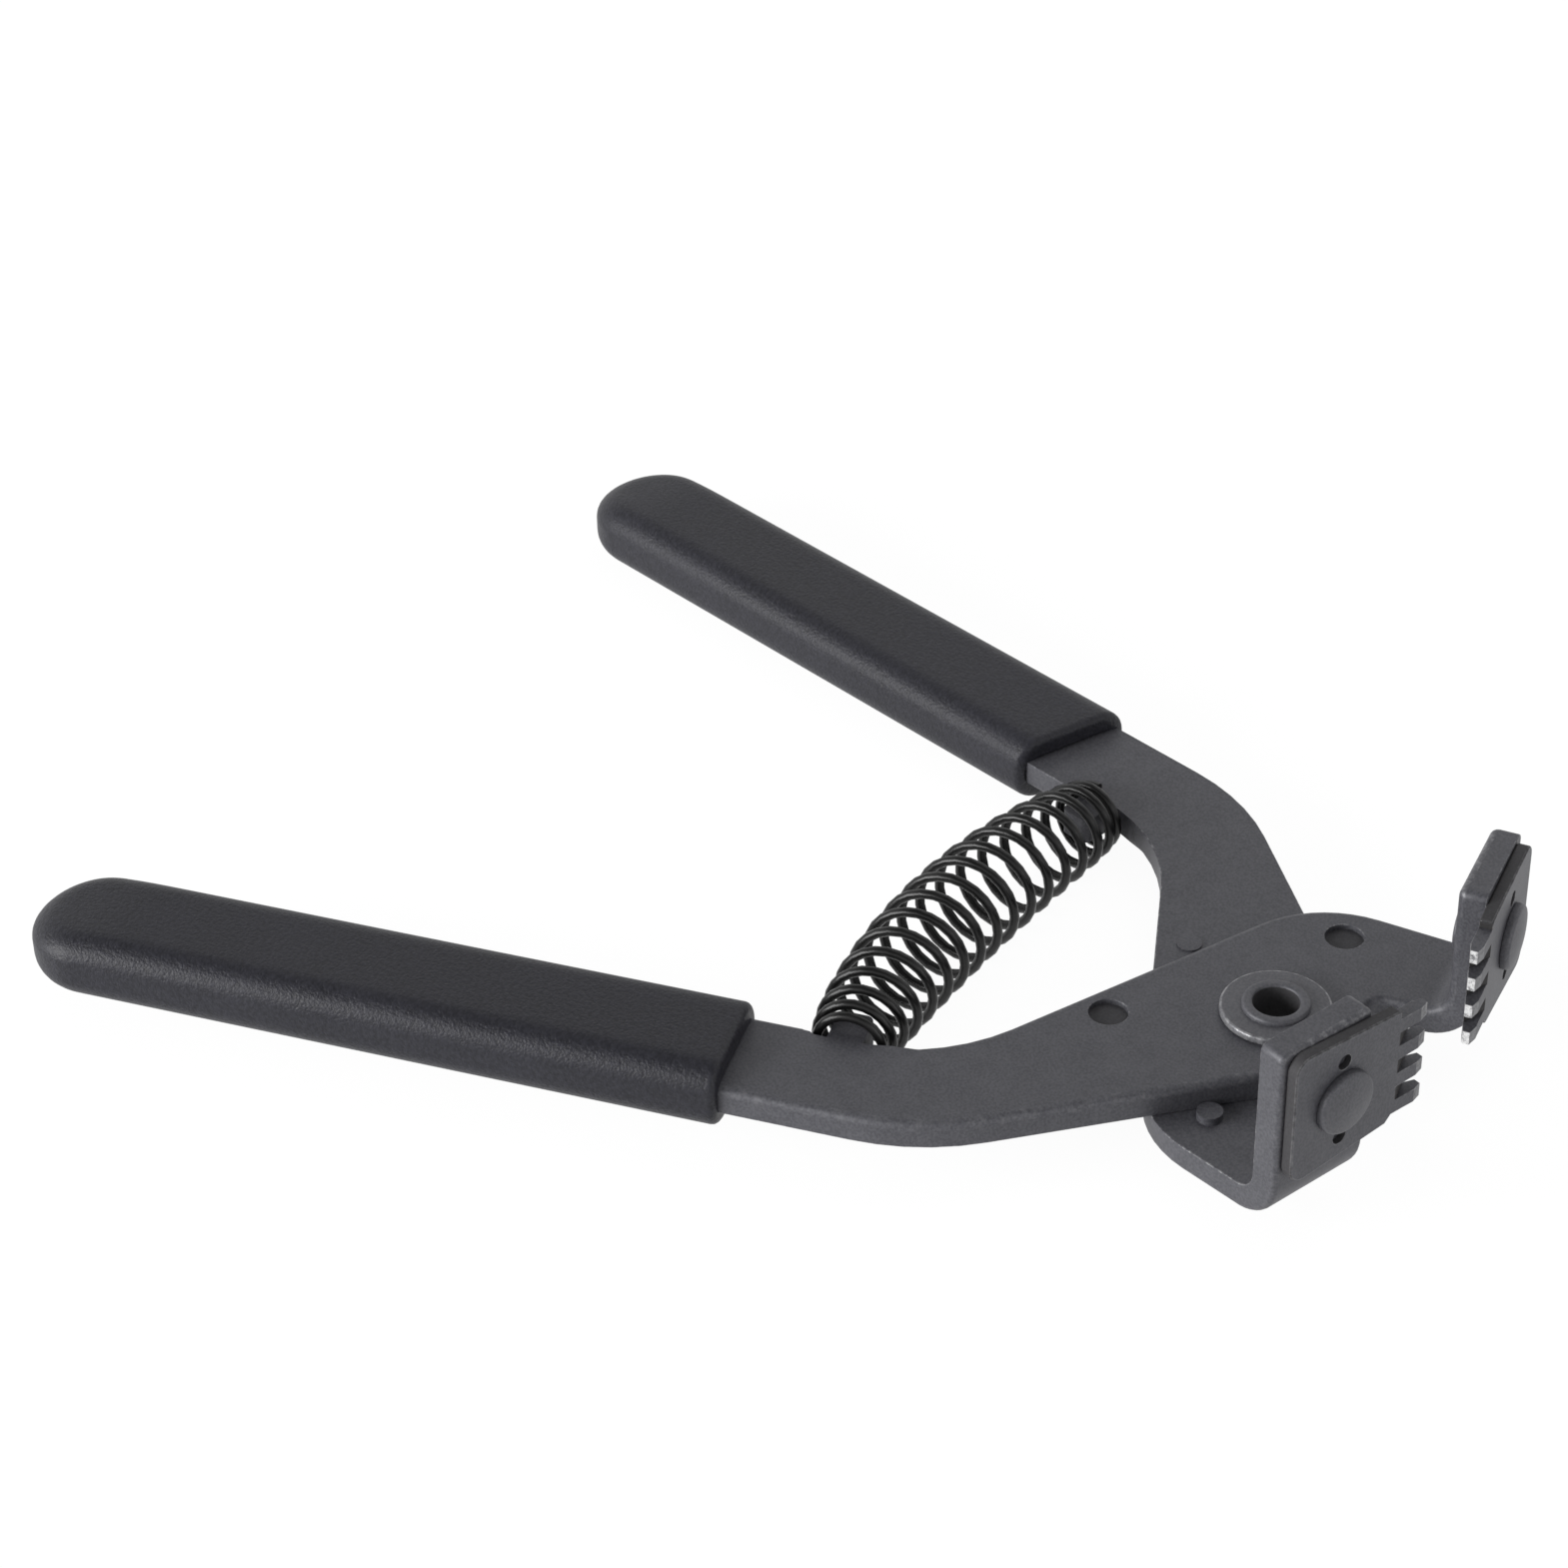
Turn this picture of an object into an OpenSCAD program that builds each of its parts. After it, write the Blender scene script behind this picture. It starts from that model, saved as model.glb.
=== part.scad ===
// Spring-opened hand clamp: two stamped strip-steel arms crossed at a hollow rivet.
// The origin is on the pivot axis, at the underside of the lower arm. +X points to the jaws.
// Each arm is drawn in its jaw's frame: x is the way the jaw plate faces, -y is outwards.

/* [Strip steel] */
// Thickness of the strip that both arms are stamped from
sheet_t = 3.4; // [3:0.1:4]
// Width of the strip, at the handles and at the jaws
strip_w = 13.6; // [12.6:0.1:14.2]
// Inner radius of the bend between arm and jaw tab
bend_r = 2.6; // [2:0.1:3]

/* [Handles] */
// Angle of each handle from the centre line, at rest
handle_angle = 14; // [13:0.25:15]
// Distance from the pivot axis to the centre line of a handle
handle_offset = 25.3; // [24.5:0.1:26]
// Length of the steel, measured back along the handle from the pivot
steel_length = 140; // [125:1:150]
// Radius of the outer knee, where the handle turns in to the pivot
knee_r = 28; // [20:1:32]
// Radius of the inner knee
crotch_r = 22; // [14:1:24]

/* [Hub] */
// Radius of the hub round the pivot
hub_r = 10.3; // [10:0.1:11]
// Bearing of the straight shoulder that leaves the hub
shoulder_angle = 44.5; // [42:0.1:46]
// Distance from the pivot axis to the back edge of the jaw arm
back_offset = 14.4; // [14:0.1:15.5]
// Bearing of that back edge's normal, from the -X direction
back_angle = 25.2; // [23:0.1:27]

/* [Jaws] */
// Angle between each jaw and the closing line, at rest
jaw_angle = 13.5; // [12.5:0.25:14]
// How far the closing line of the jaws is turned from the centre line
jaw_bias = 5.2; // [0:0.1:6]
// Distance from the pivot axis to the back face of the jaw tab
tab_back = 17.8; // [17:0.1:19]
// Height of the jaw tab above the underside of the lower arm
tab_top = 24.4; // [23:0.1:26]
// Distance from the closing line to the inner side of the strip
strip_in = 7.2; // [6.8:0.1:7.6]
// Radius of the lobe behind the jaw
lobe_r = 14; // [6:0.5:16]
// Radius of the neck between hub and jaw
neck_r = 2; // [1:0.1:2.5]

/* [Jaw plates] */
// Thickness of a toothed plate
plate_t = 2; // [1.6:0.1:2.4]
// Number of teeth on each plate
teeth = 4; // [2:1:4]
// Distance from one tooth to the next
tooth_pitch = 3.8; // [3.4:0.1:4]
// Height of a tooth at its root
tooth_h = 1.9; // [1.4:0.1:2.2]
// Thickness of a tooth at its ground tip
tip_t = 1.1; // [0.6:0.1:1.4]
// Gap between a tip and the closing line
tip_gap = 0.15; // [0.1:0.05:0.4]

/* [Pivot] */
// Radius of the bore through the hollow rivet
bore_r = 2.7; // [2.2:0.1:2.8]
// Outer radius of the rivet's tube
tube_r = 3.6; // [3.4:0.1:4]
// Radius of the two washers
washer_r = 6.45; // [5.5:0.05:7]
// Thickness of a washer
washer_t = 1; // [0.6:0.1:1.4]

/* [Grips] */
// Where a grip's open mouth is, measured back along the handle from the pivot
grip_mouth = 56.8; // [54:0.1:60]
// Where a grip's closed end is, measured the same way
grip_end = 143.5; // [142:0.5:155]
// Width of a grip
grip_w = 16; // [15:0.1:18]
// Thickness of a grip
grip_t = 7.6; // [6.6:0.1:9]
// Rounding along the edges of a grip
grip_round = 2.3; // [1.5:0.1:3]

/* [Spring] */
// Diameter of the spring wire
wire_d = 1.2; // [1:0.1:1.3]
// Number of turns
turns = 16.5; // [13:0.5:17]
// Radius of the barrel at its middle, to the centre of the wire
barrel_r = 6.1; // [5:0.1:6.5]
// Radius of the end turns, to the centre of the wire
end_turn_r = 3.5; // [3.5:0.1:4]
// Rise of the close end turns, from wire to wire
end_pitch = 1.8; // [1.75:0.05:2.2]
// How far the middle of the spring bows towards the grips
spring_bow = 3.2; // [2.5:0.1:3.5]

/* [Hidden] */
$fn = 64;

steel = "dimgray";
dark_steel = "slategray";
vinyl = "#26262a";

slide_gap = 0.05;                 // play between two faces that slide
run_gap = 0.05;                   // radial play of the arm on the rivet
through = 1;                      // how far a cut runs past the face it opens
end_round = strip_w / 2 - 0.1;    // corners at the steel's far end
arc_step = 7.5;                   // degrees to a point along a rounded corner
least_step = 0.001;               // points closer than this are one point

upper_z = sheet_t + slide_gap;    // underside of the upper arm
stack_top = upper_z + sheet_t;    // top of the upper arm
bend_u = tab_back - bend_r;       // where the flat strip ends and the bend starts
tab_front = tab_back + sheet_t;
strip_out = strip_in + strip_w;
tab_round = 1;                    // top corners of a jaw tab
lobe_flare = 4;                   // slant of the strip's outer side behind the bend
handle_in = handle_offset - strip_w / 2;
handle_out = handle_offset + strip_w / 2;
lower_turn = jaw_angle + jaw_bias;   // bearing of each jaw plate at rest
upper_turn = jaw_angle - jaw_bias;

// Spring seat: the inner edge steps in, and a tongue there holds the end turn
seat_s = 45.2;
step_s = 49.6;
step_slant = 0.7;
seat_depth = 1.1;
seat_edge = handle_in + seat_depth;
tongue_w = 4.2;
tongue_l = 5;
tongue_round = 1;

// Half-sheared buttons: a blind recess on one face raises a smaller button on the other
recess_r = 2.3;
recess_depth = 1.2;
button_r = 1.5;
button_h = 1;
stop_gap = 0.15;
stop_along = 11.5;                // from the shoulder's tangent point to the stop button
rear_button = [-16.2, 9.9];

// Jaw plate and its rivet, as [distance from the closing line, height]
plate_outer_v = 20.1;
plate_root_v = 4.5;
plate_outer_z = [7, 24.3];
plate_root_z = [8.2, 23.4];
plate_round = 2;
plate_nick = 1.2;
first_tooth_z = 10;
tooth_taper = 0.15;
bevel_l = 1.3;
rivet_v = 12.9;
rivet_z = 15.6;
head_r = 4.6;
head_edge = 1.2;
head_dome = 0.6;
shank_r = 2.2;
tail_r = 3.1;
tail_h = 0.8;
pip_offset = 5.2;
pip_r = 0.9;
pip_hole_r = 0.95;
pip_h = 0.8;

// Rolled rim at each end of the hollow rivet
rim_r = 4;
rim_h = 0.65;
rim_lead = 0.3;
washer_edge = 0.2;

function unit(v) = v / norm(v);
function spin(p, a) = [p[0] * cos(a) - p[1] * sin(a), p[0] * sin(a) + p[1] * cos(a)];

// Where the line from p along d crosses the line from q along e
function meet(p, d, q, e) = p + d * cross(q - p, e) / cross(d, e);

// Point at s back along the handle and w out from the pivot, in the arm's frame
function on_handle(s, w) = spin([-s, w], -handle_angle);

// Points that round corner b of the path a, b, c to radius r
function fillet(a, b, c, r) =
    r == 0 ? [b] :
    let (
        to_a = unit(a - b),
        to_c = unit(c - b),
        half = acos(to_a * to_c) / 2,
        centre = b + unit(to_a + to_c) * r / sin(half),
        first = b + to_a * r / tan(half) - centre,
        last = b + to_c * r / tan(half) - centre,
        start = atan2(first[1], first[0]),
        sweep = atan2(cross(first, last), first * last)
    )
    arc(centre, r, start, start + sweep);

// Points along an arc round centre c
function arc(c, r, from, to) =
    let (steps = max(2, ceil(abs(to - from) / arc_step)))
    [for (i = [0 : steps]) c + r * [cos(from + (to - from) * i / steps), sin(from + (to - from) * i / steps)]];

// A closed path of [x, y, corner radius], as points
function rounded(path) =
    let (n = len(path), flat = [for (p = path) [p[0], p[1]]])
    [for (i = [0 : n - 1]) each fillet(flat[(i + n - 1) % n], flat[i], flat[(i + 1) % n], path[i][2])];

// The same closed path without points that repeat the one before
function distinct(points) =
    let (n = len(points))
    [for (i = [0 : n - 1]) if (norm(points[i] - points[(i + 1) % n]) > least_step) points[i]];

// Outline of a flattened arm in its jaw's frame, where turn is the jaw's bearing
function arm_outline(turn) =
    let (
        shoulder = hub_r * [cos(shoulder_angle), sin(shoulder_angle)],
        shoulder_way = [-sin(shoulder_angle), cos(shoulder_angle)],
        back_normal = -[cos(back_angle), sin(back_angle)],
        back_foot = back_offset * back_normal,
        back_way = spin(back_normal, 90),
        handle_way = spin([-1, 0], -handle_angle),
        knee = meet(on_handle(0, handle_out), handle_way, shoulder, shoulder_way),
        crotch = meet(on_handle(0, seat_edge), handle_way, back_foot, back_way),
        lobe = meet(spin(back_foot, turn), spin(back_way, turn), [bend_u, -strip_out], spin([-1, 0], lobe_flare)),
        neck_rise = strip_in - neck_r,
        neck = [sqrt(pow(hub_r + neck_r, 2) - pow(neck_rise, 2)), -neck_rise],
        hub_end = atan2(neck[1], neck[0])
    )
    distinct(concat(
        arc([0, 0], hub_r, shoulder_angle + turn, hub_end),
        arc(neck, neck_r, hub_end + 180, 270),
        [[bend_u, -strip_in], [bend_u, -strip_out]],
        rounded([
            [bend_u, -strip_out, 0],
            [each lobe, lobe_r],
            [each spin(crotch, turn), crotch_r],
            [each spin(on_handle(step_s - step_slant, seat_edge), turn), step_slant],
            [each spin(on_handle(step_s + step_slant, handle_in), turn), step_slant],
            [each spin(on_handle(steel_length, handle_in), turn), end_round],
            [each spin(on_handle(steel_length, handle_out), turn), end_round],
            [each spin(knee, turn), knee_r],
            [each spin(shoulder, turn), 0]
        ])
    ));

// Outline of the tongue that holds the spring's end turn, in the jaw's frame
function tongue_outline(turn) =
    let (
        near = seat_s - tongue_w / 2,
        far = seat_s + tongue_w / 2,
        tip = seat_edge - tongue_l,
        root = seat_edge + through
    )
    rounded([for (p = [[near, root, 0], [near, tip, tongue_round], [far, tip, tongue_round], [far, root, 0]])
        [each spin(on_handle(p[0], p[1]), turn), p[2]]]);

// Centre of the button that stops the other arm's shoulder, in the arm's frame
function stop_button() =
    spin([hub_r + button_r + stop_gap, -stop_along], -shoulder_angle);

// The arm before bending, without holes
module arm_blank(turn) {
    rotate([0, 0, -turn])
        linear_extrude(sheet_t) {
            polygon(arm_outline(turn));
            polygon(tongue_outline(turn));
        }
}

// The quarter bend and the upright tab of a jaw, in the jaw's frame
module jaw_tab(tab_height) {
    translate([bend_u, -strip_in, sheet_t + bend_r])
        rotate([90, 0, 0])
            rotate([0, 0, -90])
                rotate_extrude(angle = 90)
                    translate([bend_r, 0])
                        square([sheet_t, strip_w]);
    translate([tab_back, 0, 0])
        rotate([90, 0, 90])
            linear_extrude(sheet_t)
                polygon(rounded([
                    [-strip_out, sheet_t + bend_r, 0], [-strip_in, sheet_t + bend_r, 0],
                    [-strip_in, tab_height, tab_round], [-strip_out, tab_height, tab_round]
                ]));
}

// One arm lying on z = 0, its jaw on the -y side; its recesses open up or down
module arm(turn, z, hole_r, recess_up) {
    tab_height = tab_top - z;
    recess_z = recess_up ? sheet_t - recess_depth : -through;
    button_z = recess_up ? -button_h : sheet_t - through;
    difference() {
        union() {
            arm_blank(turn);
            rotate([0, 0, -turn])
                jaw_tab(tab_height);
            for (p = [stop_button(), rear_button])
                translate([p[0], p[1], button_z])
                    cylinder(h = button_h + through, r = button_r);
            rotate([0, 0, -turn])
                for (side = [-1, 1])
                    translate([tab_front - through, -rivet_v, rivet_z - z + side * pip_offset])
                        rotate([0, 90, 0])
                            cylinder(h = pip_h + through, r = pip_r, $fn = 24);
        }
        translate([0, 0, -through])
            cylinder(h = sheet_t + 2 * through, r = hole_r);
        for (p = [stop_button(), rear_button])
            translate([p[0], p[1], recess_z])
                cylinder(h = recess_depth + through, r = recess_r);
        rotate([0, 0, -turn])
            translate([tab_back - through, -rivet_v, rivet_z - z])
                rotate([0, 90, 0])
                    cylinder(h = sheet_t + 2 * through, r = shank_r);
    }
}

// Places what is drawn for the lower arm where the upper arm has it
module as_upper() {
    translate([0, 0, upper_z])
        mirror([0, 1, 0])
            children();
}

module lower_arm() {
    color(steel)
        arm(lower_turn, 0, tube_r, false);
}

module upper_arm() {
    color(steel)
        as_upper()
            arm(upper_turn, upper_z, tube_r + run_gap, true);
}

// Half of a grip's section, from its middle out
module half_grip_section() {
    half_w = grip_w / 2;
    half_t = grip_t / 2;
    polygon(rounded([
        [0, -half_t, 0], [half_w, -half_t, grip_round], [half_w, half_t, grip_round], [0, half_t, 0]
    ]));
}

// Dip-moulded sleeve on a handle that lies on z = 0
module grip(turn) {
    straight = grip_end - grip_w / 2 - grip_mouth;
    difference() {
        translate([0, 0, sheet_t / 2])
            rotate([0, 0, -handle_angle])
                translate([-grip_mouth, handle_offset, 0])
                    rotate([0, 0, 90])
                        union() {
                            for (side = [0, 1])
                                mirror([side, 0, 0])
                                    rotate([90, 0, 180])
                                        linear_extrude(straight)
                                            half_grip_section();
                            translate([0, straight, 0])
                                rotate_extrude(angle = 180)
                                    half_grip_section();
                        }
        arm_blank(turn);
    }
}

module lower_grip() {
    color(vinyl)
        grip(lower_turn);
}

module upper_grip() {
    color(vinyl)
        as_upper()
            grip(upper_turn);
}

// Toothed plate in the jaw's frame, at heights above the underside of the lower arm
module jaw_plate() {
    tip_edge = (plate_t - tip_t) / 2;
    plate_front = tab_front + plate_t;
    difference() {
        translate([tab_front, 0, 0])
            rotate([90, 0, 90])
                linear_extrude(plate_t) {
                    polygon(rounded([
                        [-plate_outer_v, plate_outer_z[0], plate_round],
                        [-plate_root_v - plate_nick, plate_root_z[0], 0],
                        [-plate_root_v, plate_root_z[0] + plate_nick, 0],
                        [-plate_root_v, plate_root_z[1], plate_nick / 3],
                        [-plate_outer_v, plate_outer_z[1], plate_round]
                    ]));
                    for (i = [0 : teeth - 1])
                        translate([-plate_root_v, first_tooth_z + i * tooth_pitch])
                            tooth();
                }
        for (side = [0, 1])
            translate([side == 0 ? tab_front : plate_front, -tip_gap, 0])
                mirror([side, 0, 0])
                    linear_extrude(tab_top + through)
                        polygon([
                            [-through, through], [-through, -bevel_l], [0, -bevel_l],
                            [tip_edge, 0], [tip_edge, through]
                        ]);
        translate([tab_front - through, -rivet_v, rivet_z])
            rotate([0, 90, 0])
                cylinder(h = plate_t + 2 * through, r = shank_r);
        for (side = [-1, 1])
            translate([tab_front - through, -rivet_v, rivet_z + side * pip_offset])
                rotate([0, 90, 0])
                    cylinder(h = plate_t + 2 * through, r = pip_hole_r, $fn = 24);
    }
}

// Outline of one tooth, from inside the plate to its tip on the closing line
module tooth() {
    root = tooth_h / 2;
    tip = root - tooth_taper / 2;
    reach = plate_root_v - tip_gap;
    polygon([[-through, -root], [0, -root], [reach, -tip], [reach, tip], [0, root], [-through, root]]);
}

module lower_jaw_plate() {
    color(dark_steel)
        rotate([0, 0, -lower_turn])
            jaw_plate();
}

module upper_jaw_plate() {
    color(dark_steel)
        mirror([0, 1, 0])
            rotate([0, 0, -upper_turn])
                jaw_plate();
}

// Large-headed rivet through a plate and its tab, in the jaw's frame
module jaw_rivet() {
    head_u = tab_front + plate_t;
    tail_edge = tail_h / 2;
    dome_r = (head_r * head_r + head_dome * head_dome) / (2 * head_dome);
    dome_sweep = asin(head_r / dome_r);
    dome_steps = 6;
    translate([0, -rivet_v, rivet_z])
        rotate([0, 90, 0])
            rotate_extrude()
                polygon(concat(
                    [[0, tab_back - tail_h], [tail_r - tail_edge, tab_back - tail_h]],
                    [[tail_r, tab_back - tail_edge], [tail_r, tab_back]],
                    [[shank_r, tab_back], [shank_r, head_u], [head_r, head_u]],
                    [for (i = [dome_steps : -1 : 0])
                        let (a = dome_sweep * i / dome_steps)
                        [dome_r * sin(a), head_u + head_edge + head_dome - dome_r * (1 - cos(a))]]
                ));
}

module lower_jaw_rivet() {
    color(steel)
        rotate([0, 0, -lower_turn])
            jaw_rivet();
}

module upper_jaw_rivet() {
    color(steel)
        mirror([0, 1, 0])
            rotate([0, 0, -upper_turn])
                jaw_rivet();
}

// Hollow rivet: a tube whose two ends are rolled out over the washers
module pivot_rivet() {
    low = -washer_t;
    high = stack_top + slide_gap + washer_t;
    rim_mid = (tube_r + rim_r) / 2;
    color(steel)
        rotate_extrude()
            polygon([
                [bore_r + rim_lead, low - rim_h], [rim_mid, low - rim_h],
                [rim_r, low - rim_h / 2], [rim_r, low], [tube_r, low],
                [tube_r, high], [rim_r, high], [rim_r, high + rim_h / 2],
                [rim_mid, high + rim_h], [bore_r + rim_lead, high + rim_h],
                [bore_r, high + rim_h - rim_lead], [bore_r, low - rim_h + rim_lead]
            ]);
}

// Plain washer round the rivet, from z = 0 up
module washer() {
    rotate_extrude()
        polygon([
            [tube_r, 0], [washer_r - washer_edge, 0], [washer_r, washer_edge],
            [washer_r, washer_t - washer_edge], [washer_r - washer_edge, washer_t], [tube_r, washer_t]
        ]);
}

module top_washer() {
    color(dark_steel)
        translate([0, 0, stack_top + slide_gap])
            washer();
}

module bottom_washer() {
    color(dark_steel)
        translate([0, 0, -washer_t])
            washer();
}

// The spring: one tube wound as a barrel round an axis that bows between the two seats
rings_per_turn = 8;
wire_sides = 6;
seat_rest = 0.45;                 // gap between the end turn and the edge that it rests on
barrel_power = 0.75;              // how full the barrel is
close_power = 12;                 // how quickly the rise grows away from an end

ring_count = turns * rings_per_turn;
spring_seat = on_handle(seat_s, seat_edge - wire_d / 2 - seat_rest);
spring_x = spring_seat[0];
spring_y = spring_seat[1];
spring_low = sheet_t / 2;
spring_high = upper_z + sheet_t / 2;

// The rise from one ring to the next, before it is scaled to the length
mean_pitch = 2 * spring_y / turns;
end_share = 0.2256;               // mean of cos^12 over half a turn
mid_pitch = (mean_pitch - end_share * end_pitch) / (1 - end_share);
function rise(i) =
    mid_pitch - (mid_pitch - end_pitch) * pow(cos(180 * i / ring_count), close_power);
rises = [for (i = 0, sum = 0; i <= ring_count; sum = sum + rise(i + 0.5), i = i + 1) sum];

function spring_axis(y) = [
    spring_x - spring_bow * (1 - pow(y / spring_y, 2)),
    y,
    (spring_low + spring_high) / 2 - (spring_high - spring_low) / 2 * y / spring_y
];

// Centre of the wire at ring i
function wire_point(i) =
    let (
        y = spring_y * (1 - 2 * rises[i] / rises[ring_count]),
        ahead = unit([-spring_bow * 2 * y / pow(spring_y, 2), -1, (spring_high - spring_low) / 2 / spring_y]),
        side = unit(cross(ahead, [0, 0, 1])),
        up = cross(side, ahead),
        r = end_turn_r + (barrel_r - end_turn_r) * pow(sin(180 * i / ring_count), barrel_power),
        a = 360 * i / rings_per_turn
    )
    spring_axis(y) + r * (cos(a) * up + sin(a) * side);

wire_points = [for (i = [0 : ring_count]) wire_point(i)];

// The six corners of the wire round ring i
function wire_ring(i) =
    let (
        way = unit(wire_points[min(i + 1, ring_count)] - wire_points[max(i - 1, 0)]),
        out = unit(cross(way, [0, 1, 0])),
        over = cross(way, out)
    )
    [for (k = [0 : wire_sides - 1])
        wire_points[i] + wire_d / 2 * (cos(360 * k / wire_sides) * out + sin(360 * k / wire_sides) * over)];

// Least distance between the wire's surface and itself, away from its own neighbours
wire_gap = min([for (i = [0 : ring_count - rings_per_turn / 2])
    for (j = [i + rings_per_turn / 2 : min(ring_count, i + 2 * rings_per_turn)])
        norm(wire_points[i] - wire_points[j])]) - wire_d;
echo(least_gap_between_spring_turns = wire_gap);

module spring() {
    last = ring_count * wire_sides;
    color(vinyl)
        polyhedron(
            points = [for (i = [0 : ring_count]) each wire_ring(i)],
            faces = concat(
                [for (i = [0 : ring_count - 1])
                    for (k = [0 : wire_sides - 1])
                        let (
                            a = i * wire_sides + k,
                            b = i * wire_sides + (k + 1) % wire_sides
                        )
                        each [[a, b, a + wire_sides], [b, b + wire_sides, a + wire_sides]]],
                [for (k = [1 : wire_sides - 2]) [0, k + 1, k]],
                [for (k = [1 : wire_sides - 2]) [last, last + k, last + k + 1]]
            )
        );
}

lower_arm();
upper_arm();
lower_grip();
upper_grip();
spring();
pivot_rivet();
top_washer();
bottom_washer();
lower_jaw_plate();
upper_jaw_plate();
lower_jaw_rivet();
upper_jaw_rivet();
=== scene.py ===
import math

import bmesh
import bpy
from mathutils import Matrix, Vector
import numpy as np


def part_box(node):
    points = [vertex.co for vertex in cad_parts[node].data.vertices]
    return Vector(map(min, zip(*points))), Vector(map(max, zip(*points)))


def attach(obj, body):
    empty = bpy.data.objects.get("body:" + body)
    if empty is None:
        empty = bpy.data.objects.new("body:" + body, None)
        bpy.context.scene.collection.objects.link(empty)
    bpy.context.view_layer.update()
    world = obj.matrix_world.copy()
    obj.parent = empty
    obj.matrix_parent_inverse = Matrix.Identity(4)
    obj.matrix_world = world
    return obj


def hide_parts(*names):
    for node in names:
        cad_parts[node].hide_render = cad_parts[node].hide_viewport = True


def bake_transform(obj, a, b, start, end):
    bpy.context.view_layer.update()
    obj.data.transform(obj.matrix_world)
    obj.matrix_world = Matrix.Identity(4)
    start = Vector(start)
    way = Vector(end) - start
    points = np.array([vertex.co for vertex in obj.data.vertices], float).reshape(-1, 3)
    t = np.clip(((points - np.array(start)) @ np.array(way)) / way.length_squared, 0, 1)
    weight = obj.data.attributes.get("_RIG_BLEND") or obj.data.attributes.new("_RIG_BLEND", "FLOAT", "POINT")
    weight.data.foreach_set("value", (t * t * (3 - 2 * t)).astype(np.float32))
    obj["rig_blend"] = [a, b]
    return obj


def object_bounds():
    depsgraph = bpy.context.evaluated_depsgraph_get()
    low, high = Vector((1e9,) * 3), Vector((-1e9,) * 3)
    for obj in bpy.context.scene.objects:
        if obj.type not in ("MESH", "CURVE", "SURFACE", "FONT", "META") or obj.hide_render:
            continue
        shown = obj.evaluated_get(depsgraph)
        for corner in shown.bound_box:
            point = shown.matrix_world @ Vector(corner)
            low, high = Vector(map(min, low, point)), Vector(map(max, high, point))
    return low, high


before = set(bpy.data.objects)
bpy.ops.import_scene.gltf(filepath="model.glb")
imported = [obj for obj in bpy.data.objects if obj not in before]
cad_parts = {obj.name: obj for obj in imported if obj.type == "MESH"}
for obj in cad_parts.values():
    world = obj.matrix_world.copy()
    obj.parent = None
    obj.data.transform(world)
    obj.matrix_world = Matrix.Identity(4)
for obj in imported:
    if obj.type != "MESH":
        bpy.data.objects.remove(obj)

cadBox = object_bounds()
mm = 0.001

# the camera: where it stands from the pivot, and which way it looks
view = {
    "place": (155.42 * mm, -338.53 * mm, 306.67 * mm),
    "azimuth": 33.215,
    "elevation": 35.889,
    "roll": -1.088,
    "focalPixels": 4172.6,
    "imagePixels": 1569,
    "sensor": 36,
    "nearest": 0.01,
}


def placeCamera():
    turn, rise, roll = (math.radians(view[k]) for k in ("azimuth", "elevation", "roll"))
    back = Vector((math.sin(turn) * math.cos(rise), -math.cos(turn) * math.cos(rise),
                   math.sin(rise)))
    right = Vector((math.cos(turn), math.sin(turn), 0))
    up = back.cross(right)
    rolledRight = math.cos(roll) * right + math.sin(roll) * up
    rolledUp = math.cos(roll) * up - math.sin(roll) * right
    facing = Matrix((rolledRight, rolledUp, back)).transposed()
    lens = bpy.data.cameras.new("lens")
    lens.sensor_width = view["sensor"]
    lens.lens = view["focalPixels"] / view["imagePixels"] * view["sensor"]
    lens.clip_start = view["nearest"]
    camera = bpy.data.objects.new("camera", lens)
    camera.matrix_world = Matrix.Translation(view["place"]) @ facing.to_4x4()
    bpy.context.scene.collection.objects.link(camera)
    bpy.context.scene.camera = camera


placeCamera()
print("camera placed")


class Signal:
    # a shader socket that can stand in a sum
    def __init__(self, paint, socket):
        self.paint, self.socket = paint, socket

    def maths(self, operation, *values):
        return self.paint.node("ShaderNodeMath", {"operation": operation}, dict(enumerate(values)))

    def __add__(self, other):
        return self.maths("ADD", self, other)

    def __sub__(self, other):
        return self.maths("SUBTRACT", self, other)

    def __rsub__(self, other):
        return self.maths("SUBTRACT", other, self)

    def __mul__(self, other):
        return self.maths("MULTIPLY", self, other)

    __radd__ = __add__

    def between(self, low, high):
        # 0 below low, 1 above high, smooth between them
        settings = {"interpolation_type": "SMOOTHSTEP", "clamp": True}
        span = {"From Min": low, "From Max": high, "Value": self}
        return self.paint.node("ShaderNodeMapRange", settings, span)


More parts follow.
